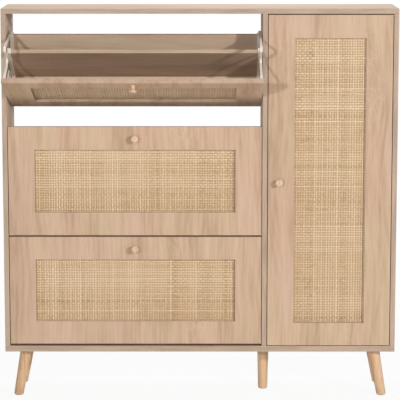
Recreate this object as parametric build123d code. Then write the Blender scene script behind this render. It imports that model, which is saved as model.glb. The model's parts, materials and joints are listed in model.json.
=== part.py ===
from build123d import *
import math
import os

# Shoe cabinet: three tip-out drawers beside a tall door, on five turned legs.
# Millimetres and degrees. X runs left to right, Y from the front edges to the wall, Z up from the floor.

# Carcass
WIDTH = 1200.0
DEPTH = 240.0
HEIGHT = 1200.0
LEG_HEIGHT = 145.0
BOARD = 15.0
BASE_BOARD = 18.0
DRAWER_BAY = 775.0
EDGE_RADIUS = 0.8

# Fronts and door
FRONT_BOARD = 15.0
SIDE_GAP = 2.0
TOP_GAP = 3.0
FRONT_GAP = 5.0
BOTTOM_GAP = 7.0
DOOR_BOTTOM_GAP = 2.0
STILE = 80.0
RAIL = 71.0
WINDOW_RADIUS = 1.0
REBATE_LAP = 8.0
RATTAN_SHEET = 1.5
BACKING_SHEET = 3.0
BACKING_INSET = 1.5
SHEET_PLAY = 0.4

# Knobs
KNOB_RADIUS = 11.3
KNOB_CAP = 9.5
KNOB_REACH = 22.0
KNOB_NECK_RADIUS = 6.2
KNOB_FOOT_RADIUS = 8.0
KNOB_ROUND = 3.4
KNOB_SCREW_RADIUS = 2.0
KNOB_SCREW_HOLD = 12.0
KNOB_SCREW_HEAD_RADIUS = 4.0
KNOB_SCREW_HEAD = 2.6
DOOR_KNOB_INSET = 34.0

# Tip-out drawers, in the side view: depth from the inner face of the front, height from its lower edge
DRAWER_NAMES = ("bottom", "middle", "top")
OPEN_DRAWER = "top"
OPEN_ANGLE = 72.0
PIVOT_BACK = 18.0
PIVOT_UP = 108.0
PIVOT_RADIUS = 5.0
PIVOT_HUB_RADIUS = 9.0
PIVOT_HUB = 5.0
RUNNING_PLAY = 0.05
STOP_RADIUS = 45.0
STOP_ANGLE = 60.0
STUD_RADIUS = 3.0
STUD_PLAY = 0.3
POCKET_DEPTH = 83.0
DIVIDER_FOOT = 9.0
DIVIDER_LENGTH = 170.0
DIVIDER_LEAN = 12.0
DIVIDER_BOARD = 12.0
FRONT_STOP_BOARD = 12.0
FRONT_STOP_UP = 5.0
REAR_STOP_BOARD = 9.0
REAR_STOP_SLOPE = 37.5
REAR_STOP_BACK = 13.0
REAR_STOP_UP = 11.0
BIN_EDGE_RADIUS = 0.6
BIN_REAR_GAP = 9.0

# Moulded side frames of the drawers
FRAME_GAP = 4.0
FRAME_PLATE = 3.0
FRAME_FOOT = 3.0
FRAME_TOP_DROP = 49.0
FRAME_ARM = 14.0
FRAME_ROUND = 5.0
FRAME_MARGIN = 10.0
FRAME_BORDER = 8.0
LEAST_OPENING = 400.0
NOTCH_DEPTH = 89.0
NOTCH_FORWARD = 33.0
NOTCH_ROUND = 9.0
REAR_ARM = 13.0
REAR_ARM_RISE = 7.0
RIB = 2.5
RIB_HEIGHT = 8.0
RIM = 2.5
RIM_HEIGHT = 4.0
BOARD_PLAY = 0.2
FLANGE_WIDTH = 16.0
FLANGE_SCREW_INSET = 35.0
END_SCREW_INSET = 32.0
END_SCREW_LENGTH = 25.0

# Pivot plates on the bay walls
PIVOT_PLATE = 3.0
PIVOT_PLATE_RADIUS = 12.0
PIVOT_PLATE_REACH = 68.0
PIVOT_SCREW_REACHES = (24.0, 66.0)

# Wood screws
SCREW_RADIUS = 1.75
SCREW_HEAD_RADIUS = 3.3
SCREW_HEAD = 1.7
SCREW_LENGTH = 12.0
FIT_PLAY = 0.05

# Door fittings
DOOR_PIN_INSET = 20.0
DOOR_PIN_BACK = 6.5
DOOR_PIN_RADIUS = 2.5
DOOR_PIN_HOLD = 10.0
DOOR_PIN_COLLAR = 4.5
COLLAR_PLAY = 0.3
BUSH_RADIUS = 4.0
BUSH_LENGTH = 14.0
CATCH_WIDTH = 12.0
CATCH_DEPTH = 15.0
CATCH_HEIGHT = 46.0
CATCH_PLAY = 0.3
CATCH_SCREW_SPAN = 30.0
STRIKE_PLATE = 2.0
STRIKE_WIDTH = 12.0
STRIKE_HEIGHT = 40.0
STRIKE_INSET = 2.0

# Back, rails and shelves
BACK_PANEL = 3.0
BACK_INSET = 7.0
GROOVE = 5.0
GROOVE_PLAY = 0.2
RAIL_HEIGHT = 70.0
RAIL_UP = 230.0
WALL_RAIL_UP = 90.0
SHELF_COUNT = 4
SHELF_SETBACK = 38.0
SHELF_PLAY = 0.5
PEG_RADIUS = 2.5
PEG_HOLD = 8.0
PEG_INSET = 30.0
PEG_TONGUE = 8.0

# Joints between the carcass boards
CAM_RADIUS = 7.5
CAM_DEPTH = 12.0
CAM_BACK = 34.0
CAM_SETBACK = 40.0
BOLT_RADIUS = 3.0
BOLT_PLAY = 0.3
FACE_HOLD = 8.5
DOWEL_RADIUS = 4.0
DOWEL_LENGTH = 30.0
DOWEL_SETBACK = 80.0
RAIL_DOWEL_SPAN = 40.0

# Legs
LEG_TOP_RADIUS = 18.0
LEG_FOOT_RADIUS = 14.5
LEG_INSET_X = 61.0
LEG_INSET_Y = 49.0
LEG_SPLAY_X = 25.0
LEG_SPLAY_Y = 12.0
FOOT_ROUND = 6.0
LEG_PLATE = 2.5
LEG_PLATE_SIDE = 60.0
LEG_PLATE_ROUND = 6.0
LEG_PLATE_SCREW = 22.0
LEG_BOLT_RADIUS = 4.0
LEG_BOLT_IN_LEG = 40.0
LEG_BOLT_IN_BASE = 10.0

# Wall brackets on the uppermost rail
BRACKET_SHEET = 2.0
BRACKET_WIDTH = 30.0
BRACKET_RISE = 40.0
BRACKET_SPAN = 500.0
BRACKET_SCREW_SPAN = 16.0
WALL_HOLE_RADIUS = 2.75
WALL_HOLE_UP = 25.0

# Planes of the carcass
LEFT_OUTER = -WIDTH / 2
RIGHT_OUTER = WIDTH / 2
LEFT_INNER = LEFT_OUTER + BOARD
RIGHT_INNER = RIGHT_OUTER - BOARD
PARTITION_LEFT = LEFT_INNER + DRAWER_BAY
PARTITION_RIGHT = PARTITION_LEFT + BOARD
BAY_CENTRE = (LEFT_INNER + PARTITION_LEFT) / 2
OPENING_BOTTOM = LEG_HEIGHT + BASE_BOARD
OPENING_TOP = HEIGHT - BOARD
RAIL_FRONT = DEPTH - BOARD
BACK_REAR = DEPTH - BACK_INSET
BACK_FRONT = BACK_REAR - BACK_PANEL

# Fronts, door and windows
FRONT_LEFT = LEFT_INNER + SIDE_GAP
FRONT_RIGHT = PARTITION_LEFT - SIDE_GAP
FRONTS_SPACE = OPENING_TOP - OPENING_BOTTOM - TOP_GAP - BOTTOM_GAP
FRONT_HEIGHT = (FRONTS_SPACE - FRONT_GAP * (len(DRAWER_NAMES) - 1)) / len(DRAWER_NAMES)
FRONT_PITCH = FRONT_HEIGHT + FRONT_GAP
FRONT_BOTTOMS = [OPENING_BOTTOM + BOTTOM_GAP + FRONT_PITCH * row for row in range(len(DRAWER_NAMES))]
WALL_RAIL_BOTTOM = FRONT_BOTTOMS[-1] + WALL_RAIL_UP
RAIL_BOTTOMS = [bottom + RAIL_UP for bottom in FRONT_BOTTOMS[:-1]] + [WALL_RAIL_BOTTOM]
DOOR_LEFT = PARTITION_RIGHT + SIDE_GAP
DOOR_RIGHT = RIGHT_INNER - SIDE_GAP
DOOR_BOTTOM = OPENING_BOTTOM + DOOR_BOTTOM_GAP
DOOR_TOP = OPENING_TOP - TOP_GAP
DOOR_MIDDLE = (DOOR_BOTTOM + DOOR_TOP) / 2
DOOR_AXIS_X = DOOR_RIGHT - DOOR_PIN_INSET
BACKING_REAR = FRONT_BOARD - BACKING_INSET
BACKING_FRONT = BACKING_REAR - BACKING_SHEET
RATTAN_FRONT = BACKING_FRONT - RATTAN_SHEET

# Side view of a closed drawer: (depth from the front's face, height from its lower edge)
PIVOT_Y = FRONT_BOARD + PIVOT_BACK
LEAN = math.radians(DIVIDER_LEAN)
SLOPE = math.radians(REAR_STOP_SLOPE)
DIVIDER_START = (FRONT_BOARD + POCKET_DEPTH, DIVIDER_FOOT)
DIVIDER_END = (
    DIVIDER_START[0] + DIVIDER_LENGTH * math.sin(LEAN),
    DIVIDER_START[1] + DIVIDER_LENGTH * math.cos(LEAN),
)
BIN_REAR = RAIL_FRONT - BIN_REAR_GAP
REAR_STOP_START = (DIVIDER_START[0] + REAR_STOP_BACK, DIVIDER_START[1] + REAR_STOP_UP)
REAR_STOP_RUN = BIN_REAR - FRAME_MARGIN - REAR_STOP_START[0]
REAR_STOP_END = (
    REAR_STOP_START[0] + REAR_STOP_RUN,
    REAR_STOP_START[1] + REAR_STOP_RUN * math.tan(SLOPE),
)
FRONT_STOP_MIDDLE = FRONT_STOP_UP + FRONT_STOP_BOARD / 2
FRONT_STOP_START = (FRONT_BOARD + BOARD_PLAY, FRONT_STOP_MIDDLE)
DIVIDER_FACE = DIVIDER_BOARD / 2 / math.cos(LEAN)
DIVIDER_AT_STOP = DIVIDER_START[0] + (FRONT_STOP_UP - DIVIDER_FOOT) * math.tan(LEAN)
FRONT_STOP_END = (DIVIDER_AT_STOP - DIVIDER_FACE - BOARD_PLAY, FRONT_STOP_MIDDLE)
FRAME_OUTER = LEFT_INNER + FRAME_GAP
FRAME_INNER = FRAME_OUTER + FRAME_PLATE
FRAME_TOP = FRONT_HEIGHT - FRAME_TOP_DROP
FLANGE_REAR = FRONT_BOARD + FRAME_PLATE
NOTCH = (DIVIDER_END[0] - NOTCH_FORWARD, FRAME_TOP - NOTCH_DEPTH)

# Shelves and legs
SHELF_SPACE = (OPENING_TOP - OPENING_BOTTOM - SHELF_COUNT * BOARD) / (SHELF_COUNT + 1)
SHELF_BOTTOMS = [OPENING_BOTTOM + SHELF_SPACE + (SHELF_SPACE + BOARD) * n for n in range(SHELF_COUNT)]
SHELF_REAR = BACK_FRONT - SHELF_PLAY
LEG_TOP = LEG_HEIGHT - LEG_PLATE
PARTITION_CENTRE = PARTITION_LEFT + BOARD / 2
BAY_WALLS = (LEFT_OUTER + BOARD / 2, PARTITION_CENTRE, RIGHT_OUTER - BOARD / 2)


# Basic shapes

def block(x0, x1, y0, y1, z0, z1):
    """A box between two corners."""
    middle = Pos((x0 + x1) / 2, (y0 + y1) / 2, (z0 + z1) / 2)
    return middle * Box(x1 - x0, y1 - y0, z1 - z0)


def softened(x0, x1, y0, y1, z0, z1):
    """A board with its edges eased."""
    piece = block(x0, x1, y0, y1, z0, z1)
    return fillet(piece.edges(), EDGE_RADIUS)


def rod(start, end, radius, play=0.0):
    """A round bar from start to end. With play it is the hole that the bar sits in."""
    run = Vector(*end) - Vector(*start)
    upward = (Align.CENTER, Align.CENTER, Align.MIN)
    bar = Pos(0, 0, -play) * Cylinder(radius + play, run.length + 2 * play, align=upward)
    return Plane(origin=start, z_dir=run) * bar


def turned(points):
    """A solid turned about Z from half of its section, as (radius, height) points."""
    section = Plane.XZ * make_face(Polyline(*points, close=True))
    return revolve(section, Axis.Z)


def screw(head_at, direction, length=SCREW_LENGTH, play=0.0):
    """A countersunk wood screw with its head flush at head_at. With play it is the hole for the screw."""
    head = SCREW_HEAD_RADIUS + play
    shank = SCREW_RADIUS + play
    tip = length + play
    body = turned([(0, 0), (head, 0), (shank, SCREW_HEAD), (shank, tip), (0, tip)])
    return Plane(origin=head_at, z_dir=direction) * body


def screws_at(places, length=SCREW_LENGTH):
    """The screws at (head place, direction) pairs, and their holes."""
    made = [screw(at, way, length) for at, way in places]
    holes = [screw(at, way, length, FIT_PLAY) for at, way in places]
    return made, holes


def strip(start, end, thickness, margin=0.0):
    """A rectangle along a line of the side view, grown by margin on all sides."""
    run = Vector(*end) - Vector(*start)
    middle = (Vector(*start) + Vector(*end)) * 0.5
    slope = math.degrees(math.atan2(run.Y, run.X))
    outline = Rectangle(run.length + 2 * margin, thickness + 2 * margin)
    return Pos(middle.X, middle.Y) * Rot(0, 0, slope) * outline


def across(section, x0, x1):
    """A side view section carried across the cabinet from x0 to x1."""
    return extrude(Plane.YZ.offset(x0) * section, amount=x1 - x0)


def other_side(piece):
    """The mirror image of a piece about the middle of the drawer bay."""
    return mirror(piece, about=Plane.YZ.offset(BAY_CENTRE))


# Windowed fronts with a woven sheet, and their knobs

def window_box(x0, x1, z0, z1, y0, y1, margin=0.0):
    """The window of a front, grown by margin, between two depths."""
    return block(
        x0 + STILE - margin, x1 - STILE + margin, y0, y1, z0 + RAIL - margin, z1 - RAIL + margin
    )


def windowed_front(x0, x1, z0, z1):
    """The framed board, the woven sheet in its window and the backing behind the sheet."""
    board = softened(x0, x1, 0, FRONT_BOARD, z0, z1)
    board -= window_box(x0, x1, z0, z1, 0, FRONT_BOARD)
    board -= window_box(x0, x1, z0, z1, RATTAN_FRONT, FRONT_BOARD, REBATE_LAP)
    face_edges = board.edges().filter_by_position(Axis.Y, -FIT_PLAY, FIT_PLAY)
    rim = face_edges.filter_by_position(Axis.X, x0 + STILE / 2, x1 - STILE / 2)
    rim = rim.filter_by_position(Axis.Z, z0 + RAIL / 2, z1 - RAIL / 2)
    board = fillet(rim, WINDOW_RADIUS)
    lap = REBATE_LAP - SHEET_PLAY
    sheet = window_box(x0, x1, z0, z1, RATTAN_FRONT, BACKING_FRONT, lap)
    backing = window_box(x0, x1, z0, z1, BACKING_FRONT, BACKING_REAR, lap)
    return board, sheet, backing


def knob_with_screw(x, z):
    """A turned knob on a front's face, its screw from behind and the screw's hole."""
    cap_start = KNOB_REACH - KNOB_CAP
    knob = turned([
        (0, 0),
        (KNOB_FOOT_RADIUS, 0),
        (KNOB_NECK_RADIUS, cap_start / 2),
        (KNOB_NECK_RADIUS, cap_start),
        (KNOB_RADIUS, cap_start),
        (KNOB_RADIUS, KNOB_REACH),
        (0, KNOB_REACH),
    ])
    rings = knob.edges().filter_by(GeomType.CIRCLE)
    cap_edges = [ring for ring in rings if ring.radius > KNOB_FOOT_RADIUS + FIT_PLAY]
    knob = Plane(origin=(x, 0, z), z_dir=(0, -1, 0)) * fillet(cap_edges, KNOB_ROUND)
    tip = (x, -KNOB_SCREW_HOLD, z)
    seat = (x, FRONT_BOARD, z)
    head_end = (x, FRONT_BOARD + KNOB_SCREW_HEAD, z)
    bolt = rod(tip, seat, KNOB_SCREW_RADIUS) + rod(seat, head_end, KNOB_SCREW_HEAD_RADIUS)
    hole = rod(tip, head_end, KNOB_SCREW_RADIUS, FIT_PLAY)
    return knob - hole, bolt, hole


# Tip-out drawer

def frame_outline():
    """The side view of a moulded side frame, from the flange at the front to the tip behind."""
    arm_y = NOTCH[0] + NOTCH_ROUND / 2
    heel_y = REAR_STOP_START[0] - REAR_STOP_UP
    points = [
        (FRONT_BOARD, FRAME_FOOT),
        (FRONT_BOARD, FRAME_TOP),
        (FRONT_BOARD + FRAME_ARM, FRAME_TOP),
        NOTCH,
        (arm_y, FRAME_TOP),
        (arm_y + REAR_ARM, FRAME_TOP + REAR_ARM_RISE),
        (BIN_REAR, REAR_STOP_END[1] + REAR_ARM_RISE),
        (BIN_REAR - RIB, REAR_STOP_END[1] - FRAME_ROUND),
        (heel_y + REAR_STOP_BACK, FRAME_FOOT + FRAME_ROUND),
        (heel_y, FRAME_FOOT),
    ]
    plate = make_face(Polyline(*points, close=True))
    plate = fillet(plate.vertices().sort_by_distance(NOTCH)[0], NOTCH_ROUND)
    corners = [
        plate.vertices().sort_by_distance(point)[0]
        for point in points
        if point[0] > FRONT_BOARD and point != NOTCH
    ]
    return fillet(corners, FRAME_ROUND)


def bin_lines():
    """The bin's boards in the side view: name, start, end and thickness."""
    return [
        ("front_stop", FRONT_STOP_START, FRONT_STOP_END, FRONT_STOP_BOARD),
        ("divider", DIVIDER_START, DIVIDER_END, DIVIDER_BOARD),
        ("rear_stop", REAR_STOP_START, REAR_STOP_END, REAR_STOP_BOARD),
    ]


def frame_openings(outline):
    """The openings of a side frame, clear of its border, channels, stop slot and the rib below its notch."""
    kept = Pos(PIVOT_Y, PIVOT_UP) * Circle(STOP_RADIUS + STUD_RADIUS + FRAME_BORDER)
    rib_end = (NOTCH[0], NOTCH[1] + 2 * NOTCH_ROUND)
    kept += strip(DIVIDER_END, rib_end, DIVIDER_BOARD)
    for _, start, end, thickness in bin_lines():
        kept += strip(start, end, thickness, BOARD_PLAY + RIB)
    openings = offset(outline, -FRAME_BORDER) - kept
    return Sketch() + openings.faces().filter_by(lambda opening: opening.area > LEAST_OPENING)


def side_frame():
    """The left side frame: an open plate with a rim, channels for the boards, a pivot hub and a stop slot."""
    outline = frame_outline()
    rim = outline - offset(outline, -RIM)
    channels = Sketch()
    for _, start, end, thickness in bin_lines():
        channels += strip(start, end, thickness, BOARD_PLAY + RIB)
    channels = channels & outline
    for _, start, end, thickness in bin_lines():
        bed = strip(start, end, thickness, BOARD_PLAY)
        rim -= bed
        channels -= bed
    frame = across(outline - frame_openings(outline), FRAME_OUTER, FRAME_INNER)
    frame += across(rim, FRAME_INNER, FRAME_INNER + RIM_HEIGHT)
    frame += across(channels, FRAME_INNER, FRAME_INNER + RIB_HEIGHT)
    frame += block(
        FRAME_OUTER, FRAME_OUTER + FLANGE_WIDTH, FRONT_BOARD, FLANGE_REAR,
        FRONT_STOP_UP + FRONT_STOP_BOARD + RIB, FRAME_TOP,
    )
    pivot = (PIVOT_Y, PIVOT_UP)
    frame += across(Pos(*pivot) * Circle(PIVOT_HUB_RADIUS), FRAME_INNER, FRAME_INNER + PIVOT_HUB)
    slot_path = CenterArc(pivot, STOP_RADIUS, STOP_ANGLE - OPEN_ANGLE, OPEN_ANGLE)
    slot = SlotArc(slot_path, 2 * (STUD_RADIUS + STUD_PLAY))
    hole = Pos(*pivot) * Circle(PIVOT_RADIUS + RUNNING_PLAY)
    frame -= across(slot, FRAME_OUTER, FRAME_INNER)
    frame -= across(hole, FRAME_OUTER, FRAME_INNER + PIVOT_HUB)
    return frame


def end_screw_places():
    """Where screws pass through the left side frame into the ends of the bin's boards."""
    places = []
    for _, start, end, _ in bin_lines():
        run = Vector(*end) - Vector(*start)
        inset = min(END_SCREW_INSET, run.length / 2)
        for point in (Vector(*start) + run.normalized() * inset, Vector(*end) - run.normalized() * inset):
            places.append(((FRAME_OUTER, point.X, point.Y), (1, 0, 0)))
    return places


def flange_screw_places():
    """Where screws hold the left side frame's flange on the back of the front."""
    x = FRAME_OUTER + (FRAME_PLATE + FLANGE_WIDTH) / 2
    low = FRAME_FOOT + FLANGE_SCREW_INSET
    high = FRAME_TOP - FLANGE_SCREW_INSET
    return [((x, FLANGE_REAR, z), (0, -1, 0)) for z in (low, (low + high) / 2, high)]


def drawer_pieces():
    """The pieces of one closed drawer, from the face of its front and its lower edge."""
    front, rattan, backing = windowed_front(FRONT_LEFT, FRONT_RIGHT, 0, FRONT_HEIGHT)
    knob, knob_bolt, knob_hole = knob_with_screw(BAY_CENTRE, FRONT_HEIGHT - RAIL / 2)
    end_screws, end_holes = screws_at(end_screw_places(), END_SCREW_LENGTH)
    flange_screws, flange_holes = screws_at(flange_screw_places())
    left_screws = end_screws + flange_screws
    left_holes = end_holes + flange_holes
    right_screws = [other_side(piece) for piece in left_screws]
    right_holes = [other_side(piece) for piece in left_holes]
    frame = side_frame() - left_holes
    pieces = {
        "front": front - (left_holes + right_holes + [knob_hole]),
        "rattan": rattan,
        "backing": backing,
        "knob": knob,
        "frame_left": frame,
        "frame_right": other_side(frame),
    }
    board_left = FRAME_INNER + BOARD_PLAY
    board_right = 2 * BAY_CENTRE - board_left
    for name, start, end, thickness in bin_lines():
        board = across(strip(start, end, thickness), board_left, board_right)
        board = fillet(board.edges().filter_by(Axis.X), BIN_EDGE_RADIUS)
        pieces[name] = board - (left_holes + right_holes)
    pieces["screws"] = left_screws + right_screws + [knob_bolt]
    return pieces


def in_bay(piece, bottom, angle):
    """A drawer piece set in the bay at its row and tipped about its pivot."""
    tip = Pos(0, PIVOT_Y, bottom + PIVOT_UP) * Rot(angle, 0, 0) * Pos(0, -PIVOT_Y, -PIVOT_UP)
    return tip * piece


# Door

def door_pieces():
    """The door with its woven sheet, knob, bushes and strike plate."""
    frame, rattan, backing = windowed_front(DOOR_LEFT, DOOR_RIGHT, DOOR_BOTTOM, DOOR_TOP)
    knob, knob_bolt, knob_hole = knob_with_screw(DOOR_LEFT + DOOR_KNOB_INSET, DOOR_MIDDLE)
    bushes = []
    bush_holes = []
    for edge, inward in ((DOOR_BOTTOM, 1), (DOOR_TOP, -1)):
        mouth = (DOOR_AXIS_X, DOOR_PIN_BACK, edge)
        floor = (DOOR_AXIS_X, DOOR_PIN_BACK, edge + inward * BUSH_LENGTH)
        bushes.append(rod(mouth, floor, BUSH_RADIUS) - rod(mouth, floor, DOOR_PIN_RADIUS, RUNNING_PLAY))
        bush_holes.append(rod(mouth, floor, BUSH_RADIUS, FIT_PLAY))
    strike_left = DOOR_LEFT + STRIKE_INSET
    strike_rear = FRONT_BOARD + STRIKE_PLATE
    strike = block(
        strike_left, strike_left + STRIKE_WIDTH, FRONT_BOARD, strike_rear,
        DOOR_MIDDLE - STRIKE_HEIGHT / 2, DOOR_MIDDLE + STRIKE_HEIGHT / 2,
    )
    strike_x = strike_left + STRIKE_WIDTH / 2
    heights = (DOOR_MIDDLE - STRIKE_HEIGHT / 4, DOOR_MIDDLE + STRIKE_HEIGHT / 4)
    strike_screws, strike_holes = screws_at([((strike_x, strike_rear, z), (0, -1, 0)) for z in heights])
    return {
        "door_frame": frame - (bush_holes + strike_holes + [knob_hole]),
        "door_rattan": rattan,
        "door_backing": backing,
        "door_knob": knob,
        "door_pivot_bushes": bushes,
        "door_catch_plate": strike - strike_holes,
        "door_screws": strike_screws + [knob_bolt],
    }


# Carcass fittings

def pivot_plates():
    """The left bay wall's plates with pivot pin and stop stud, their screws and the screws' holes."""
    reach = math.radians(STOP_ANGLE)
    way = Vector(math.cos(reach), math.sin(reach))
    outline = SlotCenterPoint(
        (PIVOT_PLATE_REACH / 2, 0), (PIVOT_PLATE_REACH, 0), 2 * PIVOT_PLATE_RADIUS
    )
    pin_end = FRAME_INNER + PIVOT_HUB
    plates = []
    places = []
    for bottom in FRONT_BOTTOMS:
        pivot = Vector(PIVOT_Y, bottom + PIVOT_UP)
        stud = pivot + way * STOP_RADIUS
        set_out = Pos(pivot.X, pivot.Y) * Rot(0, 0, STOP_ANGLE)
        face = LEFT_INNER + PIVOT_PLATE
        plate = across(set_out * outline, LEFT_INNER, face)
        plate += across(Pos(pivot.X, pivot.Y) * Circle(PIVOT_RADIUS), LEFT_INNER, pin_end)
        plate += across(Pos(stud.X, stud.Y) * Circle(STUD_RADIUS), LEFT_INNER, FRAME_INNER)
        plates.append(plate)
        for distance in PIVOT_SCREW_REACHES:
            point = pivot + way * distance
            places.append(((face, point.X, point.Y), (-1, 0, 0)))
    screws, holes = screws_at(places)
    return [plate - holes for plate in plates], screws, holes


def leg_ends():
    """Each leg's name and the middles of its top and foot."""
    x = WIDTH / 2 - LEG_INSET_X
    ends = {}
    for row, y, back in (("front", LEG_INSET_Y, -1), ("rear", DEPTH - LEG_INSET_Y, 1)):
        for side, sign in (("left", -1), ("right", 1)):
            top = (sign * x, y, LEG_TOP)
            foot = (sign * (x + LEG_SPLAY_X), y + back * LEG_SPLAY_Y, 0)
            ends[f"leg_{row}_{side}"] = (top, foot)
    ends["leg_centre"] = ((PARTITION_CENTRE, DEPTH / 2, LEG_TOP), (PARTITION_CENTRE, DEPTH / 2, 0))
    return ends


def leg(top, foot):
    """A tapered leg along its axis, cut level at the plate and at the floor."""
    axis = Vector(*foot) - Vector(*top)
    spare = LEG_TOP_RADIUS
    taper = (LEG_TOP_RADIUS - LEG_FOOT_RADIUS) / axis.length * spare
    start = Vector(*top) - axis.normalized() * spare
    cone = Cone(
        LEG_TOP_RADIUS + taper, LEG_FOOT_RADIUS - taper, axis.length + 2 * spare,
        align=(Align.CENTER, Align.CENTER, Align.MIN),
    )
    reach = LEG_HEIGHT
    level = Pos(foot[0], foot[1], top[2] / 2) * Box(reach, reach, top[2])
    piece = (Plane(origin=start, z_dir=axis) * cone) & level
    return fillet(piece.edges().group_by(Axis.Z)[0], FOOT_ROUND)


def leg_bolt(top, foot, play=0.0):
    """The bolt along a leg's axis, from inside the leg into the base board."""
    axis = (Vector(*foot) - Vector(*top)).normalized()
    start = Vector(*top) + axis * LEG_BOLT_IN_LEG
    end = Vector(*top) - axis * (LEG_PLATE + LEG_BOLT_IN_BASE)
    return rod(tuple(start), tuple(end), LEG_BOLT_RADIUS, play)


def leg_pieces():
    """Legs, leg plates, bolts and the plates' screws, with the holes that they need."""
    ends = leg_ends()
    bolts = [leg_bolt(top, foot) for top, foot in ends.values()]
    bolt_holes = [leg_bolt(top, foot, FIT_PLAY) for top, foot in ends.values()]
    legs = {name: leg(top, foot) - bolt_holes for name, (top, foot) in ends.items()}
    outline = RectangleRounded(LEG_PLATE_SIDE, LEG_PLATE_SIDE, LEG_PLATE_ROUND)
    plates = [Pos(*top) * extrude(outline, amount=LEG_PLATE) for top, _ in ends.values()]
    steps = (-LEG_PLATE_SCREW, LEG_PLATE_SCREW)
    offsets = [(dx, dy) for dx in steps for dy in steps]
    places = [
        ((top[0] + dx, top[1] + dy, LEG_TOP), (0, 0, 1))
        for top, _ in ends.values()
        for dx, dy in offsets
    ]
    screws, screw_holes = screws_at(places)
    holes = screw_holes + bolt_holes
    plates = [plate - holes for plate in plates]
    return legs, plates, bolts, screws, holes


def upright_joints():
    """Cams, bolts and dowels where the uprights meet top and base, and their holes."""
    metal = []
    dowels = []
    holes = []
    inner_faces = (LEFT_INNER, PARTITION_RIGHT, RIGHT_INNER)
    inward = (-1, -1, 1)
    for x, face, way in zip(BAY_WALLS, inner_faces, inward):
        for end, up in ((OPENING_TOP, 1), (OPENING_BOTTOM, -1)):
            for y in (CAM_SETBACK, DEPTH - CAM_SETBACK):
                cam_z = end - up * CAM_BACK
                bolt_line = ((x, y, cam_z), (x, y, end + up * FACE_HOLD))
                cam_line = ((face, y, cam_z), (face + way * CAM_DEPTH, y, cam_z))
                channel = rod(*bolt_line, BOLT_RADIUS, BOLT_PLAY)
                metal.append(rod(*bolt_line, BOLT_RADIUS))
                metal.append(rod(*cam_line, CAM_RADIUS) - channel)
                holes += [channel, rod(*cam_line, CAM_RADIUS, FIT_PLAY)]
            for y in (DOWEL_SETBACK, DEPTH - DOWEL_SETBACK):
                line = ((x, y, end + up * FACE_HOLD), (x, y, end + up * (FACE_HOLD - DOWEL_LENGTH)))
                dowels.append(rod(*line, DOWEL_RADIUS))
                holes.append(rod(*line, DOWEL_RADIUS, FIT_PLAY))
    return metal, dowels, holes


def rail_boards():
    """The back rails of the drawer bay, their dowels and the dowels' holes."""
    rails = []
    dowels = []
    holes = []
    y = RAIL_FRONT + BOARD / 2
    for low in RAIL_BOTTOMS:
        rails.append(softened(LEFT_INNER, PARTITION_LEFT, RAIL_FRONT, DEPTH, low, low + RAIL_HEIGHT))
        middle = low + RAIL_HEIGHT / 2
        for wall, inward in ((LEFT_INNER, 1), (PARTITION_LEFT, -1)):
            for z in (middle - RAIL_DOWEL_SPAN / 2, middle + RAIL_DOWEL_SPAN / 2):
                in_wall = (wall - inward * FACE_HOLD, y, z)
                in_rail = (wall + inward * (DOWEL_LENGTH - FACE_HOLD), y, z)
                dowels.append(rod(in_wall, in_rail, DOWEL_RADIUS))
                holes.append(rod(in_wall, in_rail, DOWEL_RADIUS, FIT_PLAY))
    return rails, dowels, holes


def wall_brackets():
    """Angle brackets that tie the uppermost rail to a wall, their screws and the screws' holes."""
    seat = WALL_RAIL_BOTTOM + RAIL_HEIGHT
    brackets = []
    places = []
    for x in (BAY_CENTRE - BRACKET_SPAN / 2, BAY_CENTRE + BRACKET_SPAN / 2):
        x0 = x - BRACKET_WIDTH / 2
        x1 = x + BRACKET_WIDTH / 2
        bracket = block(x0, x1, RAIL_FRONT + EDGE_RADIUS, DEPTH, seat, seat + BRACKET_SHEET)
        bracket += block(x0, x1, DEPTH - BRACKET_SHEET, DEPTH, seat, seat + BRACKET_RISE)
        hole_z = seat + WALL_HOLE_UP
        bracket -= rod((x, DEPTH - BRACKET_SHEET, hole_z), (x, DEPTH, hole_z), WALL_HOLE_RADIUS)
        brackets.append(bracket)
        screw_y = RAIL_FRONT + (BOARD - BRACKET_SHEET) / 2
        for screw_x in (x - BRACKET_SCREW_SPAN / 2, x + BRACKET_SCREW_SPAN / 2):
            places.append(((screw_x, screw_y, seat + BRACKET_SHEET), (0, 0, -1)))
    screws, holes = screws_at(places)
    return [bracket - holes for bracket in brackets], screws, holes


def shelf_pegs():
    """Pegs with a flat tongue under each end of each shelf, and the pegs' holes."""
    pegs = []
    holes = []
    for bottom in SHELF_BOTTOMS:
        z = bottom - PEG_RADIUS
        for wall, inward in ((PARTITION_RIGHT, 1), (RIGHT_INNER, -1)):
            for y in (SHELF_SETBACK + PEG_INSET, SHELF_REAR - PEG_INSET):
                line = ((wall - inward * PEG_HOLD, y, z), (wall, y, z))
                tip = wall + inward * PEG_TONGUE
                tongue = block(
                    min(wall, tip), max(wall, tip), y - PEG_TONGUE / 2, y + PEG_TONGUE / 2,
                    bottom - 2 * PEG_RADIUS, bottom,
                )
                pegs.append(rod(*line, PEG_RADIUS) + tongue)
                holes.append(rod(*line, PEG_RADIUS, FIT_PLAY))
    return pegs, holes


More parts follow.
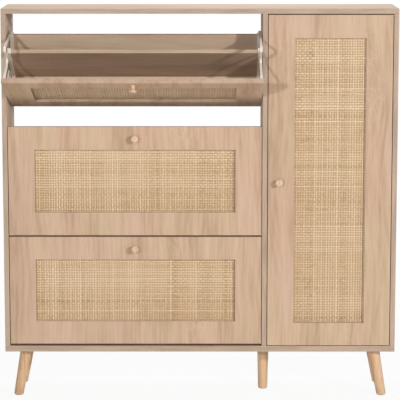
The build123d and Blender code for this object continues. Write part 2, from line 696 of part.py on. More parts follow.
def door_pins():
    """The collared pins that the door turns on, and their holes in top and base."""
    pins = []
    holes = []
    ends = ((OPENING_BOTTOM, 1, DOOR_BOTTOM_GAP), (OPENING_TOP, -1, TOP_GAP))
    for wall, inward, gap in ends:
        hidden = (DOOR_AXIS_X, DOOR_PIN_BACK, wall - inward * DOOR_PIN_HOLD)
        seat = (DOOR_AXIS_X, DOOR_PIN_BACK, wall)
        collar_end = (DOOR_AXIS_X, DOOR_PIN_BACK, wall + inward * (gap - COLLAR_PLAY))
        tip = (DOOR_AXIS_X, DOOR_PIN_BACK, wall + inward * (gap + BUSH_LENGTH - COLLAR_PLAY))
        pins.append(rod(hidden, tip, DOOR_PIN_RADIUS) + rod(seat, collar_end, DOOR_PIN_COLLAR))
        holes.append(rod(hidden, seat, DOOR_PIN_RADIUS, FIT_PLAY))
    return pins, holes


def door_catch():
    """The magnetic catch on the partition, its screws and the screws' holes."""
    front = FRONT_BOARD + STRIKE_PLATE + CATCH_PLAY
    face = PARTITION_RIGHT + CATCH_WIDTH
    low = DOOR_MIDDLE - CATCH_HEIGHT / 2
    body = block(PARTITION_RIGHT, face, front, front + CATCH_DEPTH, low, low + CATCH_HEIGHT)
    body = fillet(body.edges().filter_by(Axis.X), EDGE_RADIUS)
    y = front + CATCH_DEPTH / 2
    heights = (DOOR_MIDDLE - CATCH_SCREW_SPAN / 2, DOOR_MIDDLE + CATCH_SCREW_SPAN / 2)
    length = CATCH_WIDTH + FACE_HOLD
    screws, holes = screws_at([((face, y, z), (-1, 0, 0)) for z in heights], length)
    return body - holes, screws, holes


# Whole carcass

def carcass_nodes():
    """Boards, legs and fittings that stay still."""
    plates, plate_screws, plate_holes = pivot_plates()
    plates += [other_side(piece) for piece in plates]
    plate_screws += [other_side(piece) for piece in plate_screws]
    plate_holes += [other_side(piece) for piece in plate_holes]
    legs, leg_plates, leg_bolts, leg_screws, leg_holes = leg_pieces()
    cams, joint_dowels, joint_holes = upright_joints()
    rails, rail_dowels, rail_holes = rail_boards()
    brackets, bracket_screws, bracket_holes = wall_brackets()
    pegs, peg_holes = shelf_pegs()
    pins, pin_holes = door_pins()
    catch, catch_screws, catch_holes = door_catch()
    back = block(
        PARTITION_RIGHT - GROOVE, RIGHT_INNER + GROOVE, BACK_FRONT, BACK_REAR,
        OPENING_BOTTOM - GROOVE, OPENING_TOP + GROOVE,
    )
    groove = block(
        PARTITION_RIGHT - GROOVE - GROOVE_PLAY, RIGHT_INNER + GROOVE + GROOVE_PLAY,
        BACK_FRONT - GROOVE_PLAY, BACK_REAR + GROOVE_PLAY,
        OPENING_BOTTOM - GROOVE - GROOVE_PLAY, OPENING_TOP + GROOVE + GROOVE_PLAY,
    )
    wall_holes = joint_holes + rail_holes + plate_holes + peg_holes + catch_holes
    level_holes = joint_holes + pin_holes + leg_holes
    upright = (0, DEPTH, OPENING_BOTTOM, OPENING_TOP)
    left_side = softened(LEFT_OUTER, LEFT_INNER, *upright) - wall_holes
    right_side = softened(RIGHT_INNER, RIGHT_OUTER, *upright) - (wall_holes + [groove])
    partition = softened(PARTITION_LEFT, PARTITION_RIGHT, *upright) - (wall_holes + [groove])
    level = (LEFT_OUTER, RIGHT_OUTER, 0, DEPTH)
    top = softened(*level, OPENING_TOP, HEIGHT) - (level_holes + [groove])
    base = softened(*level, LEG_HEIGHT, OPENING_BOTTOM) - (level_holes + [groove])
    shelves = [
        softened(
            PARTITION_RIGHT + SHELF_PLAY, RIGHT_INNER - SHELF_PLAY, SHELF_SETBACK, SHELF_REAR,
            bottom, bottom + BOARD,
        )
        for bottom in SHELF_BOTTOMS
    ]
    return {
        "top_panel": top,
        "bottom_panel": base,
        "left_side_panel": left_side,
        "right_side_panel": right_side,
        "centre_partition": partition,
        "door_bay_back_panel": back,
        "back_rails": [rail - (rail_holes + bracket_holes) for rail in rails],
        "shelves": shelves,
        "shelf_pins": pegs,
        **legs,
        "leg_plates": leg_plates,
        "leg_bolts": leg_bolts,
        "drawer_pivot_plates": plates,
        "door_pivot_pins": pins,
        "cam_fittings": cams,
        "dowels": joint_dowels + rail_dowels,
        "wall_brackets": brackets,
        "door_catch": catch,
        "fixing_screws": plate_screws + leg_screws + bracket_screws + catch_screws,
    }


def drawer_nodes():
    """The three drawers in their bay, one of them tipped open."""
    pieces = drawer_pieces()
    nodes = {}
    for name, bottom in zip(DRAWER_NAMES, FRONT_BOTTOMS):
        angle = OPEN_ANGLE if name == OPEN_DRAWER else 0.0
        for piece_name, piece in pieces.items():
            group = piece if isinstance(piece, list) else [piece]
            nodes[f"{name}_drawer_{piece_name}"] = [in_bay(item, bottom, angle) for item in group]
    return nodes


def all_nodes():
    """Every node as a list of solids, in the cabinet's own place."""
    nodes = {**carcass_nodes(), **drawer_nodes(), **door_pieces()}
    listed = {}
    for name, piece in nodes.items():
        group = piece if isinstance(piece, list) else [piece]
        listed[name] = [solid for item in group for solid in item.solids()]
    return listed


# The origin is on the floor, in the middle of the cabinet with its open drawer
NODES = all_nodes()
BOX = Compound([solid for group in NODES.values() for solid in group]).bounding_box()
TO_ORIGIN = Pos(-BOX.center().X, -BOX.center().Y, -BOX.min.Z)

os.makedirs("parts", exist_ok=True)
for node_name, solids in NODES.items():
    export_step(Compound([TO_ORIGIN * solid for solid in solids]), f"parts/{node_name}.step")
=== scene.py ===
import json
import math
import random
from typing import NamedTuple

import bpy
import numpy as np
from mathutils import Matrix, Vector

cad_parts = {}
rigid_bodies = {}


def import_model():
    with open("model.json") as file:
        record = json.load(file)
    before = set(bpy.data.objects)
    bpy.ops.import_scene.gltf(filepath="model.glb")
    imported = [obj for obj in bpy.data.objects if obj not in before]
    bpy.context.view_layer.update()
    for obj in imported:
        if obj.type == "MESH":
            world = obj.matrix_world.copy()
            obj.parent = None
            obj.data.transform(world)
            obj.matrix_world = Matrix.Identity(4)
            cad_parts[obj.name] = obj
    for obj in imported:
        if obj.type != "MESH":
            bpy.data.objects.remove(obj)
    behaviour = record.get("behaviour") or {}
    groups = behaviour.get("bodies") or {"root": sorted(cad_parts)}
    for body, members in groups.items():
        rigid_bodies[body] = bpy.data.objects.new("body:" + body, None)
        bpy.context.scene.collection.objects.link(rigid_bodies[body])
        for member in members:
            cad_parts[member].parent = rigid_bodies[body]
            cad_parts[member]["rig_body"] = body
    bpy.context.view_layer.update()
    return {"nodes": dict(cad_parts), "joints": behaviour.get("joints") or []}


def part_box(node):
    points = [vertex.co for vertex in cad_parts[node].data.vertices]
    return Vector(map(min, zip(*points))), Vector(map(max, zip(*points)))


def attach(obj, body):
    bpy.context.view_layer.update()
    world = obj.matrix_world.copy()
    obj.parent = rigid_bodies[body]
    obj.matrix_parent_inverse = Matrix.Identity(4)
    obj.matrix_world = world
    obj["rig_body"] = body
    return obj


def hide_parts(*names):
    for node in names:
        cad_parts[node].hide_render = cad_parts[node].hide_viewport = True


# Light oak shoe cabinet: finishes for its boards, legs and fittings, and the woven cane of its windows.
# Metres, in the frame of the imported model: X runs left to right, Y front to back, Z up from the floor.

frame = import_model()
joints = {joint["child"]: joint for joint in frame["joints"]}

# Tones run from 0, dark, to 1, pale
MIDDLE_TONE = 0.5


class Lamp(NamedTuple):
    """Square lamp: its place, the point it is aimed at, its side and its power in watts."""

    place: tuple
    aim: tuple
    side: float
    power: float


class Layer(NamedTuple):
    """Layer of noise in a finish.

    It has a number of features per metre on each axis, a number of octaves and a weight in the tone.
    Levels in its band are stretched to its whole range. Roughness is the share of each finer octave.
    """

    scale: tuple
    octaves: float
    weight: float = 1.0
    band: tuple = (0.0, 1.0)
    roughness: float = 0.5


class Surface(NamedTuple):
    """Specular level, roughness at the two ends of the grain, and depth and strength of the relief."""

    gloss: float
    rough: tuple
    depth: float
    strength: float


class Laminate(NamedTuple):
    """Printed board: two tints that drift into each other, its edge band and its surface.

    Edge facing is how squarely a face looks to the front or back where the band starts and is full.
    """

    pink: tuple
    yellow: tuple
    edge: tuple
    edge_facing: tuple
    surface: Surface


def linear(level):
    """Linear light of one sRGB level from 0 to 255."""
    share = level / 255
    return share / 12.92 if share <= 0.04045 else ((share + 0.055) / 1.055) ** 2.4


def srgb(red, green, blue):
    """Opaque colour of three sRGB levels."""
    return (linear(red), linear(green), linear(blue), 1.0)


def tones(dark, middle, light):
    """Colour stops of a grain, from its dark streaks to its pale ones."""
    return (0.0, dark), (MIDDLE_TONE, middle), (1.0, light)


def two_tones(band, dark, light):
    """Colour stops at the two ends of a band of tones."""
    return (band[0], dark), (band[1], light)


# Camera
IMAGE_SIDE = 400
FOCAL_PIXELS = 2058.05
SENSOR_WIDTH = 36.0
CAMERA_PLACE = (0.0106, -6.2240, 1.5863)
CAMERA_PITCH = math.radians(8.873)
CAMERA_YAW = math.radians(0.095)

# Studio: the floor's glow grows to full white between two distances from the middle of the cabinet
LAMPS = {
    "key": Lamp((4.0, -4.8, 2.5), (0.0, 0.0, 0.7), 0.4, 207.0),
    "fill": Lamp((-1.97, -5.4, 1.92), (0.0, 0.0, 0.7), 0.25, 104.0),
    "overhead": Lamp((0.0, 1.1, 2.6), (0.0, 1.1, 0.0), 2.2, 33.0),
    "bounce": Lamp((0.0, -0.6, 0.02), (0.0, -0.6, 1.0), 1.2, 0.8),
}
AMBIENT = 0.15
WHITE = (1.0, 1.0, 1.0, 1.0)
FLOOR_SIDE = 60.0
FLOOR_COLOUR = (0.9, 0.9, 0.9, 1.0)
FLOOR_ROUGHNESS = 0.9
FLOOR_GLOW = 0.93
FADE_START = 0.7
FADE_END = 3.0

# Woven cane of the windows: a strand lies flat over the length of its plateau at each crossing
WINDOW_BODIES = ("bottom_drawer", "middle_drawer", "top_drawer", "door")
CLOSED_DRAWER = "middle_drawer"
FIRST_WEAVE_SEED = 11
PITCH = 0.0077
STRAND_WIDTH = 0.0044
STRAND_THICKNESS = 0.0003
STRAND_CORNERS = ((-1, -1), (1, -1), (1, 1), (-1, 1))
WAVE_HEIGHT = 0.00017
PLATEAU = 0.0040
WIDTH_SPREAD = 0.16
PLACE_SPREAD = 0.0004
SWAY = 0.0003
SWAY_WAVES = (0.6, 2.2)
EDGE_CLEARANCE = 0.001

# Tones of the strands: a slow drift across the sheet, a spread of their own, and a few pale ones
DRIFT_STEP = 0.06
DRIFT_HOLD = 0.8
TONE_SPREAD = 0.08
PALE_SHARE = 0.12
PALE_TONE = 0.25

# Oak laminate. Scales are across, along and through the grain, and a board's grain is shifted by its
# number times a step. Flecks lie where their noise is near its middle, in the places the figure gives.
FRONTS = ("drawer_front", "door_frame")
UPRIGHT_GRAIN = FRONTS + ("left_side_panel", "right_side_panel", "centre_partition")
LAMINATE_STEP = (3.71, 5.33, 1.97)
BEND = Layer((5, 2.5, 5), 1.5, 0.05)
BANDS = Layer((17, 1.7, 17), 2.5, 0.17, (0.32, 0.68))
STREAKS = Layer((110, 8, 110), 3.0, 0.13, (0.30, 0.70))
PORES = Layer((800, 26, 800), 1.0, -0.10, (0.60, 0.74))
FLECKS = Layer((48, 26, 48), 1.5, 0.15, (0.045, 0.005))
FIGURE = Layer((5.5, 3.0, 5.5), 1.0, band=(0.58, 0.72))
TINT = Layer((10, 3.2, 10), 1.5, band=(0.36, 0.64))
NOISE_MIDDLE = 0.5
PORE_RELIEF = -1.0
STREAK_RELIEF = 0.3
LAMINATE_ROUGH = (0.74, 0.66)
LAMINATE_DEPTH = 0.00006
LAMINATE_STRENGTH = 0.6
FRONT_LAMINATE = Laminate(
    pink=tones(srgb(174, 140, 114), srgb(205, 173, 148), srgb(220, 191, 167)),
    yellow=tones(srgb(172, 142, 112), srgb(203, 175, 145), srgb(218, 193, 164)),
    edge=tones(srgb(164, 134, 110), srgb(195, 166, 143), srgb(210, 182, 159)),
    edge_facing=(0.9, 0.6),
    surface=Surface(0.2, LAMINATE_ROUGH, LAMINATE_DEPTH, LAMINATE_STRENGTH),
)
BOARD_LAMINATE = Laminate(
    pink=tones(srgb(166, 138, 115), srgb(198, 171, 147), srgb(212, 187, 164)),
    yellow=tones(srgb(166, 142, 115), srgb(197, 173, 146), srgb(211, 189, 164)),
    edge=tones(srgb(153, 129, 108), srgb(185, 160, 138), srgb(200, 176, 154)),
    edge_facing=(0.6, 0.9),
    surface=Surface(0.75, LAMINATE_ROUGH, LAMINATE_DEPTH, LAMINATE_STRENGTH),
)

# Solid wood with its grain upright: legs, knobs and beech dowels
WOOD_STEP = (2.9, 4.1, 7.3)
WOOD_STREAKS = Layer((190, 190, 7), 4.0, 0.6, (0.3, 0.7), 0.6)
WOOD_CLOUDS = Layer((26, 26, 3), 2.0, 0.4, (0.35, 0.65))
WOOD_PORES = Layer((1300, 1300, 50), 1.0, -0.25, (0.6, 0.72))
WOOD_SURFACE = Surface(0.4, (0.45, 0.36), 0.00005, 0.6)
LEG_TONES = tones(srgb(189, 145, 104), srgb(218, 180, 142), srgb(230, 198, 162))
KNOB_TONES = tones(srgb(200, 163, 130), srgb(219, 187, 157), srgb(230, 203, 176))
BEECH_TONES = tones(srgb(180, 142, 102), srgb(208, 172, 130), srgb(222, 190, 150))
BEECH_SEED = 0.7

# Split cane
CANE_MOTTLE = Layer((240, 240, 240), 3.0, 0.14, (0.3, 0.7), 0.6)
CANE_FIBRES = Layer((1500, 1500, 1500), 2.0, 0.06, (0.3, 0.7))
CANE_STAINS = Layer((34, 34, 34), 2.0, -0.12, (0.56, 0.72))
CANE_SURFACE = Surface(0.35, (0.5, 0.62), 0.00008, 0.5)
CANE_TONES = tones(srgb(180, 144, 104), srgb(225, 195, 159), srgb(240, 217, 184))

# Raw hardboard
HARDBOARD_FIBRES = Layer((420, 420, 420), 4.0, 0.7, (0.3, 0.7), 0.7)
HARDBOARD_CLOUDS = Layer((9, 9, 9), 3.0, 0.3, (0.25, 0.75))
HARDBOARD_SURFACE = Surface(0.2, (0.9, 0.75), 0.00012, 0.5)
HARDBOARD_TONES = two_tones((0.1, 0.9), srgb(166, 132, 96), srgb(190, 155, 117))

# Moulded plastic
FLOW_CLOUDS = Layer((22, 22, 22), 2.0, band=(0.35, 0.65))
PLASTIC_SKIN = Layer((2600, 2600, 2600), 1.0)
WHITE_TONES = two_tones((0.0, 1.0), srgb(232, 223, 210), srgb(240, 232, 220))
WHITE_SURFACE = Surface(0.45, (0.4, 0.5), 0.00003, 0.5)
NYLON_TONES = two_tones((0.0, 1.0), srgb(138, 110, 84), srgb(152, 123, 96))
NYLON_SURFACE = Surface(0.45, (0.5, 0.6), 0.00003, 0.5)

# Plated steel
STEEL_BLOTCHES = Layer((160, 160, 160), 3.0, 0.6)
STEEL_LINES = Layer((900, 900, 120), 2.0, 0.4)
STEEL_BAND = (0.3, 0.7)
STEEL_SURFACE = Surface(0.5, (0.42, 0.28), 0.00002, 0.4)
ZINC_TONES = two_tones(STEEL_BAND, srgb(158, 160, 164), srgb(212, 213, 214))
BRONZE_TONES = two_tones(STEEL_BAND, srgb(74, 64, 55), srgb(104, 91, 79))

# Sockets of a Mix node that mixes colours. Its sockets for other kinds of data have the same names.
MIX_INPUTS = (0, 6, 7)
MIX_RESULT = 2


class Look:
    """A material's node tree. Most calls add a node, set or link its inputs, and give back its output."""

    def __init__(self, name):
        self.material = bpy.data.materials.new(name)
        self.material.use_nodes = True
        self.tree = self.material.node_tree
        self.shader = self.tree.nodes["Principled BSDF"]

    def feed(self, socket, value):
        if isinstance(value, bpy.types.NodeSocket):
            self.tree.links.new(value, socket)
        else:
            socket.default_value = value

    def node(self, kind, inputs=(), **settings):
        made = self.tree.nodes.new(kind)
        for name, value in settings.items():
            setattr(made, name, value)
        for name, value in dict(inputs).items():
            self.feed(made.inputs[name], value)
        return made

    def set(self, **inputs):
        """Sets inputs of the shader, with underscores for the spaces in their names."""
        for name, value in inputs.items():
            self.feed(self.shader.inputs[name.replace("_", " ")], value)

    def place(self):
        return self.node("ShaderNodeTexCoord").outputs["Object"]

    def facing(self):
        return self.node("ShaderNodeTexCoord").outputs["Normal"]

    def map(self, vector, scale=(1, 1, 1), move=(0, 0, 0), turn=0.0):
        inputs = {"Vector": vector, "Scale": scale, "Location": move, "Rotation": (turn, 0, 0)}
        return self.node("ShaderNodeMapping", inputs).outputs["Vector"]

    def split(self, vector):
        return self.node("ShaderNodeSeparateXYZ", {"Vector": vector}).outputs

    def join(self, x, y, z):
        return self.node("ShaderNodeCombineXYZ", {"X": x, "Y": y, "Z": z}).outputs["Vector"]

    def noise(self, vector, layer):
        """A layer's noise as it is, from 0 to 1."""
        inputs = {
            "Vector": self.map(vector, layer.scale),
            "Scale": 1.0,
            "Detail": layer.octaves,
            "Roughness": layer.roughness,
        }
        return self.node("ShaderNodeTexNoise", inputs).outputs["Fac"]

    def math(self, operation, *values):
        made = self.node("ShaderNodeMath", operation=operation)
        for socket, value in zip(made.inputs, values):
            self.feed(socket, value)
        return made.outputs["Value"]

    def spread(self, value, band, to_low=0.0, to_high=1.0):
        """A value's band, eased to the range from to_low to to_high."""
        low, high = band
        inputs = {"Value": value, "From Min": low, "From Max": high, "To Min": to_low, "To Max": to_high}
        made = self.node("ShaderNodeMapRange", inputs, interpolation_type="SMOOTHSTEP")
        return made.outputs["Result"]

    def layer(self, vector, layer, to_low=0.0):
        """A layer's noise with its band spread from to_low to 1."""
        return self.spread(self.noise(vector, layer), layer.band, to_low)

    def sum(self, start, *parts):
        """A start level and each part, a layer and its value, by the layer's weight."""
        total = start
        for layer, value in parts:
            total = self.math("MULTIPLY_ADD", value, layer.weight, total)
        return total

    def ramp(self, value, stops):
        made = self.node("ShaderNodeValToRGB", {"Fac": value})
        elements = made.color_ramp.elements
        while len(elements) < len(stops):
            elements.new(1.0)
        for element, (position, colour) in zip(elements, stops):
            element.position = position
            element.color = colour
        return made.outputs["Color"]

    def mix(self, factor, first, second):
        made = self.node("ShaderNodeMix", data_type="RGBA")
        for socket, value in zip(MIX_INPUTS, (factor, first, second)):
            self.feed(made.inputs[socket], value)
        return made.outputs[MIX_RESULT]

    def finish(self, colour, surface, grain, band, relief):
        """Sets the shader. The grain's band runs from one end of the surface's roughness to the other."""
        self.set(Base_Color=colour, Specular_IOR_Level=surface.gloss)
        self.set(Roughness=self.spread(grain, band, *surface.rough))
        inputs = {"Height": relief, "Distance": surface.depth, "Strength": surface.strength}
        self.set(Normal=self.node("ShaderNodeBump", inputs).outputs["Normal"])
        return self.material


def shifted(step, seed):
    return tuple(seed * part for part in step)


def laminate(name, board, along, seed, turn):
    """Printed oak board: wavy streaks along the grain, a few ray flecks, pores and a drift of tint."""
    look = Look(name)
    x, y, z = look.split(look.map(look.place(), move=shifted(LAMINATE_STEP, seed), turn=-turn))
    across, length, depth = {"X": (y, x, z), "Z": (x, z, y)}[along]
    bend = look.noise(look.join(across, length, depth), BEND)
    grain = look.join(look.sum(across, (BEND, bend)), length, depth)

    bands = look.layer(grain, BANDS, -1.0)
    streaks = look.layer(grain, STREAKS, -1.0)
    pores = look.layer(grain, PORES)
    from_middle = look.math("ABSOLUTE", look.math("SUBTRACT", look.noise(grain, FLECKS), NOISE_MIDDLE))
    flecks = look.math("MULTIPLY", look.spread(from_middle, FLECKS.band), look.layer(grain, FIGURE))
    tone = look.sum(MIDDLE_TONE, (BANDS, bands), (STREAKS, streaks), (PORES, pores), (FLECKS, flecks))

    colour = look.mix(look.layer(grain, TINT), look.ramp(tone, board.pink), look.ramp(tone, board.yellow))
    forward = look.math("ABSOLUTE", look.split(look.map(look.facing(), turn=-turn))["Y"])
    colour = look.mix(look.spread(forward, board.edge_facing), colour, look.ramp(tone, board.edge))
    relief = look.math("MULTIPLY_ADD", pores, PORE_RELIEF, look.math("MULTIPLY", streaks, STREAK_RELIEF))
    return look.finish(colour, board.surface, streaks, (-1.0, 1.0), relief)


def solid_wood(name, stops, seed):
    """Lacquered wood with its grain upright: fine streaks, pores and a slow change of tone."""
    look = Look(name)
    grain = look.map(look.place(), move=shifted(WOOD_STEP, seed))
    streaks = look.layer(grain, WOOD_STREAKS)
    clouds = look.layer(grain, WOOD_CLOUDS)
    pores = look.layer(grain, WOOD_PORES)
    tone = look.sum(0.0, (WOOD_STREAKS, streaks), (WOOD_CLOUDS, clouds), (WOOD_PORES, pores))
    relief = look.math("MULTIPLY", pores, PORE_RELIEF)
    return look.finish(look.ramp(tone, stops), WOOD_SURFACE, streaks, (0.0, 1.0), relief)


def cane(name):
    """Split cane: each strand has a tone of its own, with mottling, fibres and a few darker stains."""
    look = Look(name)
    strand_tone = look.node("ShaderNodeAttribute", attribute_name="tone").outputs["Fac"]
    place = look.place()
    mottle = look.noise(place, CANE_MOTTLE)
    fibres = look.noise(place, CANE_FIBRES)
    tone = look.sum(
        strand_tone,
        (CANE_MOTTLE, look.spread(mottle, CANE_MOTTLE.band, -1.0)),
        (CANE_FIBRES, look.spread(fibres, CANE_FIBRES.band, -1.0)),
        (CANE_STAINS, look.layer(place, CANE_STAINS)),
    )
    return look.finish(look.ramp(tone, CANE_TONES), CANE_SURFACE, mottle, CANE_MOTTLE.band, fibres)


def hardboard(name):
    """Raw hardboard: fine fibres in every direction, and faint paler and darker clouds."""
    look = Look(name)
    place = look.place()
    fibres = look.layer(place, HARDBOARD_FIBRES)
    clouds = look.layer(place, HARDBOARD_CLOUDS)
    tone = look.sum(0.0, (HARDBOARD_FIBRES, fibres), (HARDBOARD_CLOUDS, clouds))
    return look.finish(look.ramp(tone, HARDBOARD_TONES), HARDBOARD_SURFACE, fibres, (0.0, 1.0), fibres)


def moulded(name, stops, surface):
    """Moulded plastic: a spark-eroded skin with faint flow clouds."""
    look = Look(name)
    place = look.place()
    clouds = look.noise(place, FLOW_CLOUDS)
    colour = look.ramp(look.spread(clouds, FLOW_CLOUDS.band), stops)
    return look.finish(colour, surface, clouds, FLOW_CLOUDS.band, look.noise(place, PLASTIC_SKIN))


def plated_steel(name, stops):
    """Plated steel with crystal blotches and fine drawing lines."""
    look = Look(name)
    place = look.place()
    blotches = look.noise(place, STEEL_BLOTCHES)
    lines = look.noise(place, STEEL_LINES)
    tone = look.sum(0.0, (STEEL_LINES, lines), (STEEL_BLOTCHES, blotches))
    look.set(Metallic=1.0)
    return look.finish(look.ramp(tone, stops), STEEL_SURFACE, tone, STEEL_BAND, lines)


def rest_turn(body):
    """How far a body's rest position is turned from its closed one, in radians about X."""
    joint = joints.get(body)
    if joint is None or not round(joint["axis"][0]):
        return 0.0
    return math.radians(-joint["range_deg"][0])


def board_finish(node, body, seed):
    board = FRONT_LAMINATE if node.endswith(FRONTS) else BOARD_LAMINATE
    along = "Z" if node.endswith(UPRIGHT_GRAIN) else "X"
    return laminate(f"oak_laminate_{node}", board, along, seed, rest_turn(body))


def wood_finish(node, seed):
    return solid_wood(f"solid_oak_{node}", KNOB_TONES if "knob" in node else LEG_TONES, seed)


def dress_nodes():
    """Gives each CAD node the finish of its material slot, and gives back the cane of the windows."""
    shared = {
        "backing_board": hardboard("backing_board"),
        "white_plastic": moulded("white_plastic", WHITE_TONES, WHITE_SURFACE),
        "zinc_steel": plated_steel("zinc_steel", ZINC_TONES),
        "nylon": moulded("nylon", NYLON_TONES, NYLON_SURFACE),
        "beech": solid_wood("beech", BEECH_TONES, BEECH_SEED),
        "rattan": cane("cane"),
    }
    for seed, (name, node) in enumerate(sorted(frame["nodes"].items()), 1):
        slot = node.material_slots[0]
        kind = slot.material.name.split(".")[0]
        if kind == "oak_laminate":
            slot.material = board_finish(name, node["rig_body"], seed)
        elif kind == "solid_oak":
            slot.material = wood_finish(name, seed)
        elif name == "door_pivot_pins":
            slot.material = plated_steel("bronzed_steel", BRONZE_TONES)
        else:
            slot.material = shared[kind]
    return shared["rattan"]


def add_object(name, data):
    made = bpy.data.objects.new(name, data)
    bpy.context.scene.collection.objects.link(made)
    return made


def spacing(low, high):
    """Middles of the strands that fit side by side between two edges."""
    count = int((high - low - EDGE_CLEARANCE) / PITCH)
    first = (low + high - (count - 1) * PITCH) / 2
    return first + PITCH * np.arange(count)


def strand_points(run, side, heights, width, level):
    """Corners of one flat strand at each point of its run, which is upright or level."""
    corners = []
    for across, above in STRAND_CORNERS:
        aside = side + across * width / 2
        x, z = (run, aside) if level else (aside, run)
        corners.append(np.stack([x, heights + above * STRAND_THICKNESS / 2, z], axis=1))
    return np.stack(corners, axis=1).reshape(-1, 3)


def strand_faces(rings):
    """Quads of a closed strand with a number of rings of corners, its vertices counted from 0."""
    corners = len(STRAND_CORNERS)
    ring = np.arange(rings - 1)[:, None] * corners
    here = np.arange(corners)[None, :]
    after = (here + 1) % corners
    sides = np.stack([ring + here, ring + after, ring + corners + after, ring + corners + here], axis=2)
    cap = np.arange(corners)
    caps = np.stack([cap[::-1], cap + (rings - 1) * corners])
    return np.concatenate([sides.reshape(-1, corners), caps])


def strand_tones(draw, count):
    """Tones of neighbouring strands, which drift slowly across the sheet. A few strands are paler."""
    levels = []
    drift = 0.0
    for _ in range(count):
        drift = DRIFT_HOLD * drift + draw.gauss(0, DRIFT_STEP)
        pale = PALE_TONE if draw.random() < PALE_SHARE else 0.0
        levels.append(drift + draw.gauss(0, TONE_SPREAD) + pale)
    return MIDDLE_TONE + np.array(levels) - np.mean(levels)


def woven_sheet(name, low, high, seed):
    """Plain weave that fills a box: strands upright and level, each over one and under the next."""
    draw = random.Random(seed)
    upright = spacing(low.x, high.x)
    level = spacing(low.z, high.z)
    middle = (low.y + high.y) / 2
    points = []
    faces = []
    shades = []
    first = 0
    for places, crossings, is_level in ((upright, level, False), (level, upright, True)):
        run = np.repeat(crossings, 2) + np.tile([-PLATEAU / 2, PLATEAU / 2], len(crossings))
        quads = strand_faces(len(run))
        wave = -WAVE_HEIGHT if is_level else WAVE_HEIGHT
        strand_shades = strand_tones(draw, len(places))
        for k, place in enumerate(places):
            waves = draw.uniform(*SWAY_WAVES)
            turns = waves * np.arange(len(run)) / len(run) + draw.random()
            sway = SWAY * np.sin(2 * math.pi * turns)
            side = place + draw.uniform(-PLACE_SPREAD, PLACE_SPREAD) + sway
            width = STRAND_WIDTH * (1 + draw.uniform(-WIDTH_SPREAD, WIDTH_SPREAD))
            heights = middle + np.repeat(np.where((np.arange(len(crossings)) + k) % 2, wave, -wave), 2)
            corners = strand_points(run, side, heights, width, is_level)
            points.append(corners)
            faces.append(quads + first)
            shades.append(np.full(len(corners), strand_shades[k]))
            first += len(corners)
    mesh = bpy.data.meshes.new(name)
    mesh.from_pydata(np.concatenate(points).tolist(), [], np.concatenate(faces).tolist())
    mesh.attributes.new("tone", "FLOAT", "POINT").data.foreach_set("value", np.concatenate(shades))
    mesh.polygons.foreach_set("use_smooth", [True] * len(mesh.polygons))
    mesh.update()
    return add_object(name, mesh)


def closed_window(body, pivot):
    """Box of a body's plain sheet when closed. An open drawer's is that of a closed drawer, lifted."""
    if not rest_turn(body):
        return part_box(f"{body}_rattan")
    lift = pivot - Vector(joints[CLOSED_DRAWER]["pos_m"])
    return [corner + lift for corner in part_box(f"{CLOSED_DRAWER}_rattan")]


def weave_windows(material):
    """Puts a woven sheet in place of each window's plain one, woven closed and tipped with its drawer."""
    for seed, body in enumerate(WINDOW_BODIES, FIRST_WEAVE_SEED):
        pivot = Vector(joints[body]["pos_m"])
        low, high = closed_window(body, pivot)
        piece = woven_sheet(f"{body}_weave", low, high, seed)
        tip = Matrix.Rotation(rest_turn(body), 4, "X")
        piece.data.transform(Matrix.Translation(pivot) @ tip @ Matrix.Translation(-pivot))
        piece.data.materials.append(material)
        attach(piece, body)
        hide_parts(f"{body}_rattan")


def seen_rays(tree):
    """1 for rays from the camera, reflections and rays through clear things, and 0 for the rest."""
    path = tree.nodes.new("ShaderNodeLightPath")
    seen = path.outputs["Is Camera Ray"]
    for name in ("Is Glossy Ray", "Is Transmission Ray"):
        either = tree.nodes.new("ShaderNodeMath")
        either.operation = "MAXIMUM"
        tree.links.new(seen, either.inputs[0])
        tree.links.new(path.outputs[name], either.inputs[1])
        seen = either.outputs["Value"]
    return seen


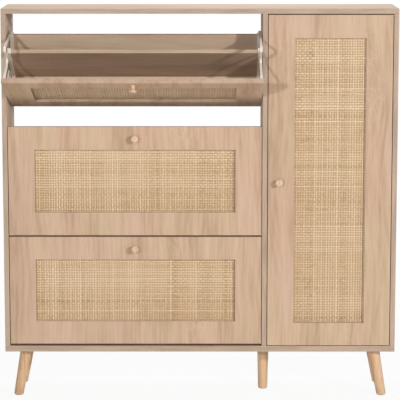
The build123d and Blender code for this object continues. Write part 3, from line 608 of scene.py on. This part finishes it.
def studio_floor():
    """Pale floor that shows white to the camera, and near the cabinet keeps its soft shadow."""
    half = FLOOR_SIDE / 2
    mesh = bpy.data.meshes.new("studio_floor")
    corners = [(-half, -half, 0), (half, -half, 0), (half, half, 0), (-half, half, 0)]
    mesh.from_pydata(corners, [], [(0, 1, 2, 3)])
    floor = add_object("studio_floor", mesh)
    look = Look("studio_floor")
    look.set(Base_Color=FLOOR_COLOUR, Roughness=FLOOR_ROUGHNESS, Specular_IOR_Level=0.0)
    glow = look.node("ShaderNodeEmission", {"Color": WHITE, "Strength": 1.0})
    distance = look.node("ShaderNodeVectorMath", {0: look.place()}, operation="LENGTH").outputs["Value"]
    fade = look.spread(distance, (FADE_START, FADE_END), FLOOR_GLOW)
    blend = look.node("ShaderNodeMixShader", {"Fac": look.math("MULTIPLY", seen_rays(look.tree), fade)})
    look.feed(blend.inputs[1], look.shader.outputs["BSDF"])
    look.feed(blend.inputs[2], glow.outputs["Emission"])
    look.feed(look.tree.nodes["Material Output"].inputs["Surface"], blend.outputs["Shader"])
    mesh.materials.append(look.material)


def studio_world():
    """Even ambient light, and a white backdrop where the camera or a reflection looks past the floor."""
    world = bpy.data.worlds.new("studio")
    bpy.context.scene.world = world
    world.use_nodes = True
    tree = world.node_tree
    backdrop = tree.nodes["Background"]
    backdrop.inputs["Color"].default_value = WHITE
    level = tree.nodes.new("ShaderNodeMapRange")
    level.inputs["To Min"].default_value = AMBIENT
    level.inputs["To Max"].default_value = 1.0
    tree.links.new(seen_rays(tree), level.inputs["Value"])
    tree.links.new(level.outputs["Result"], backdrop.inputs["Strength"])


def studio_lamps():
    """A key lamp right and a fill left, both low and in front, a soft one overhead and a bounce below."""
    for name, lamp in LAMPS.items():
        light = bpy.data.lights.new(name, "AREA")
        light.shape = "SQUARE"
        light.size = lamp.side
        light.energy = lamp.power
        stand = add_object(name, light)
        stand.visible_camera = False
        stand.location = lamp.place
        stand.rotation_euler = (Vector(lamp.aim) - Vector(lamp.place)).to_track_quat("-Z", "Y").to_euler()


def camera():
    lens = bpy.data.cameras.new("camera")
    lens.sensor_width = SENSOR_WIDTH
    lens.lens = FOCAL_PIXELS / IMAGE_SIDE * SENSOR_WIDTH
    eye = add_object("camera", lens)
    eye.location = CAMERA_PLACE
    eye.rotation_euler = (math.pi / 2 - CAMERA_PITCH, 0, CAMERA_YAW)
    bpy.context.scene.camera = eye


weave_windows(dress_nodes())
studio_floor()
studio_world()
studio_lamps()
camera()
bpy.context.scene.view_settings.view_transform = "Standard"
